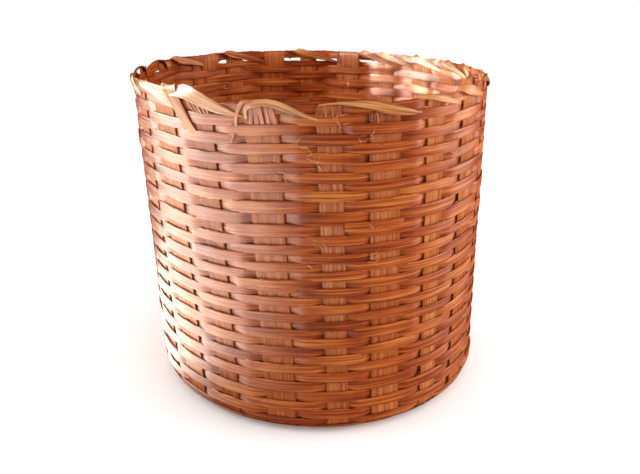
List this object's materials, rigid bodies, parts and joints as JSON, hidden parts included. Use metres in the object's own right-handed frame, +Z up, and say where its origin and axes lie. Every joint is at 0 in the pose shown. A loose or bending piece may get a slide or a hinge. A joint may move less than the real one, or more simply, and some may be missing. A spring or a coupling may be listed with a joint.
{
  "type": "basket",
  "caption": "Round open basket hand-woven from flat bamboo splints: plaited base, splint uprights, over-one-under-one wall and a rim bound with a spiral lashing",
  "frame": {"origin": "on the table under the middle of the basket's bounding box", "axes": "+Z up out of the open mouth; +X to the right and -Y towards the viewer, the rim leaning slightly towards -X"},
  "size_m": [0.2724, 0.2674, 0.2372],
  "materials": {
    "upright_splint": "split bamboo, satin, fibrous",
    "weaver_splint": "shaved bamboo skin side out, satin to semi-gloss",
    "rim_splint": "shaved bamboo, satin"
  },
  "bodies": {
    "root": {"splint_x_01": "upright_splint", "splint_x_02": "upright_splint", "splint_x_03": "upright_splint", "splint_x_04": "upright_splint", "splint_x_05": "upright_splint", "splint_y_01": "upright_splint", "splint_y_02": "upright_splint", "splint_y_03": "upright_splint", "splint_y_04": "upright_splint", "splint_y_05": "upright_splint", "splint_y_06": "upright_splint", "base_weaver_01": "weaver_splint", "base_weaver_02": "weaver_splint", "base_weaver_03": "weaver_splint", "base_weaver_04": "weaver_splint", "base_weaver_05": "weaver_splint", "corner_weaver_01": "weaver_splint", "corner_weaver_02": "weaver_splint", "corner_weaver_03": "weaver_splint", "wall_weaver_01": "weaver_splint", "wall_weaver_02": "weaver_splint", "wall_weaver_03": "weaver_splint", "wall_weaver_04": "weaver_splint", "wall_weaver_05": "weaver_splint", "wall_weaver_06": "weaver_splint", "wall_weaver_07": "weaver_splint", "wall_weaver_08": "weaver_splint", "wall_weaver_09": "weaver_splint", "wall_weaver_10": "weaver_splint", "wall_weaver_11": "weaver_splint", "wall_weaver_12": "weaver_splint", "wall_weaver_13": "weaver_splint", "wall_weaver_14": "weaver_splint", "wall_weaver_15": "weaver_splint", "wall_weaver_16": "weaver_splint", "wall_weaver_17": "weaver_splint", "wall_weaver_18": "weaver_splint", "wall_weaver_19": "weaver_splint", "wall_weaver_20": "weaver_splint", "wall_weaver_21": "weaver_splint", "wall_weaver_22": "weaver_splint", "wall_weaver_23": "weaver_splint", "wall_weaver_24": "weaver_splint", "wall_weaver_25": "weaver_splint", "wall_weaver_26": "weaver_splint", "wall_weaver_27": "weaver_splint", "wall_weaver_28": "weaver_splint", "wall_weaver_29": "weaver_splint", "wall_weaver_30": "weaver_splint", "wall_weaver_31": "weaver_splint", "wall_weaver_32": "weaver_splint", "wall_weaver_33": "weaver_splint", "wall_weaver_34": "weaver_splint", "rim_lashing": "rim_splint", "tucked_splint": "rim_splint"}
  },
  "joints": []
}
